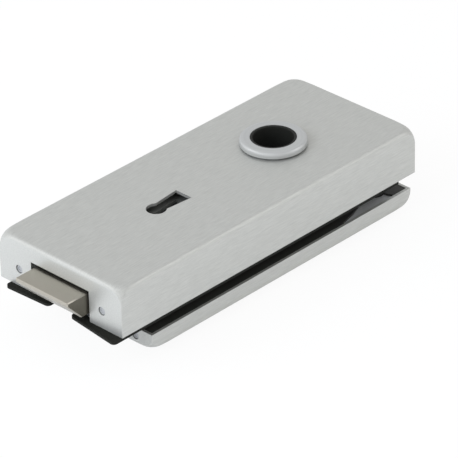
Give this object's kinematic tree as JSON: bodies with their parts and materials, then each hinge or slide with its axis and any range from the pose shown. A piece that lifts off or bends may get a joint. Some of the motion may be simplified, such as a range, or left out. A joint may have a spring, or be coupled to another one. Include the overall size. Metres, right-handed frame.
{
  "type": "glass door lock",
  "caption": "Latch lock for a glass door: flat aluminium case with keyhole, lever bearing ring and bevelled latch, joined across the pane to a counter tray.",
  "frame": {"origin": "middle of the footprint, level with the outer face of the counter side's bearing ring", "axes": "+X from the latch end to the lever end, +Y across the case, +Z out of the glass on the lock side"},
  "size_m": [0.1702, 0.064, 0.0402],
  "materials": {
    "aluminium": "satin",
    "zinc": "zinc plated",
    "steel": "plain",
    "nickel": "satin nickel",
    "black_plastic": "matt",
    "black_rubber": "matt",
    "nylon": "natural"
  },
  "bodies": {
    "case": {"lock_cover": "aluminium", "base_plate": "zinc", "mechanism_plate": "steel", "pillars": "steel", "plate_screws": "zinc", "latch_guide": "black_plastic", "latch_spring": "steel", "follower_washer": "nylon", "follower_spring": "steel", "slide_spring": "steel", "guide_pins": "steel", "bearing_ring": "aluminium", "bearing_bush": "black_plastic", "cover_grub_screws": "zinc", "case_liner": "black_rubber", "spacer_sleeves": "black_plastic", "clamp_screws": "zinc", "counter_plate": "zinc", "counter_liner": "black_rubber", "counter_cover": "aluminium", "counter_grub_screws": "zinc", "counter_ring": "aluminium", "counter_bush": "black_plastic"},
    "latch": {"latch_head": "nickel", "latch_tail": "steel", "tail_rivets": "steel"},
    "follower": {"follower": "zinc"},
    "locking_slide": {"locking_slide": "zinc"}
  },
  "joints": [
    {"name": "follower_turn", "type": "hinge", "parent": "case", "child": "follower", "pos_m": [0.03945, 0, 0.0234], "axis": [0, 0, -1], "range_deg": [0, 38.58], "stiffness_Nm_per_rad": 0.4, "springref_deg": -28.65, "deforming": ["follower_spring"]},
    {"name": "latch_draw", "type": "slide", "parent": "case", "child": "latch", "axis": [1, 0, 0], "range_m": [0, 0.0101], "stiffness_N_per_m": 150, "springref_m": -0.02, "deforming": ["latch_spring"]},
    {"name": "slide_throw", "type": "slide", "parent": "case", "child": "locking_slide", "axis": [1, 0, 0], "range_m": [0, 0.006]}
  ],
  "couplings": [
    {"joint": "follower_turn", "follows": "latch_draw", "rad_per_m": 66.667}
  ]
}
